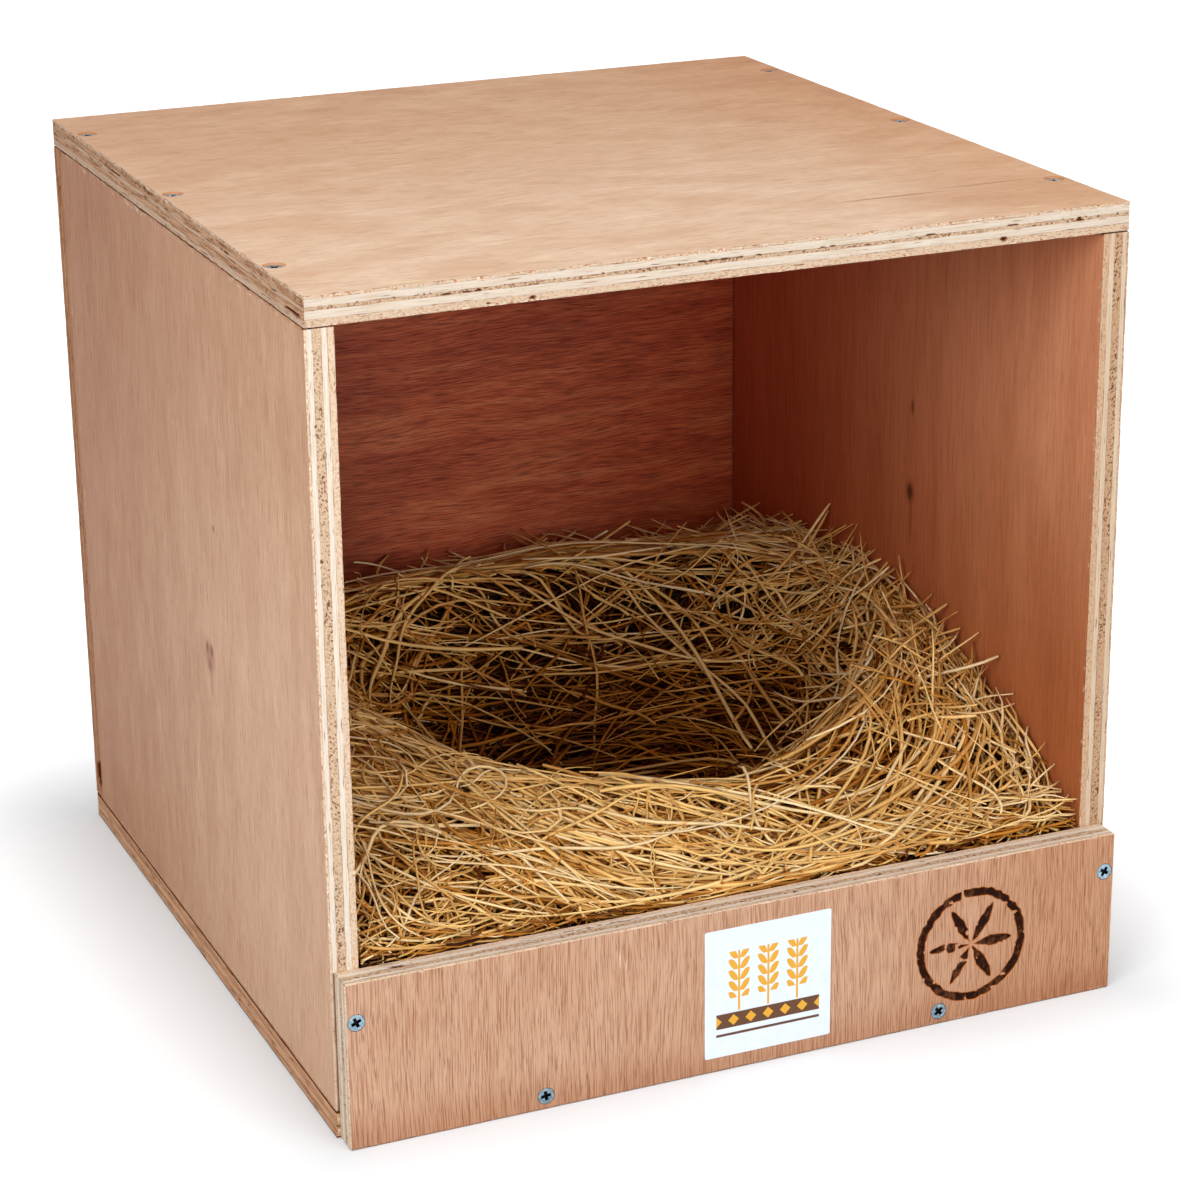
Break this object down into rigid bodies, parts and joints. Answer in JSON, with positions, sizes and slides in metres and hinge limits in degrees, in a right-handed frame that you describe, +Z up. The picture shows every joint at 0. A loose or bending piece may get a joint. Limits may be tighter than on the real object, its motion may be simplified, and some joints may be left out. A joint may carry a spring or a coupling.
{
  "type": "chicken nesting box",
  "caption": "Open-fronted plywood nesting box with a screwed top and a low front lip that holds in a hollowed straw nest for a laying hen.",
  "frame": {"origin": "on the ground, under the middle of the box's overall footprint", "axes": "+Z up, -Y out of the open front, +X to the right as seen from the front"},
  "size_m": [0.356, 0.3742, 0.35],
  "materials": {
    "plywood_top": "matte",
    "plywood_carcass": "matte",
    "plywood_lip": "matte",
    "zinc_screw": "satin",
    "label_paper": "satin",
    "straw": "satin"
  },
  "bodies": {
    "root": {"top_panel": "plywood_top", "floor_panel": "plywood_carcass", "left_side": "plywood_carcass", "right_side": "plywood_carcass", "back_panel": "plywood_carcass", "front_lip": "plywood_lip", "top_screws": "zinc_screw", "floor_screws": "zinc_screw", "back_screws": "zinc_screw", "lip_screws": "zinc_screw", "lip_label": "label_paper", "straw_nest": "straw"}
  },
  "joints": []
}
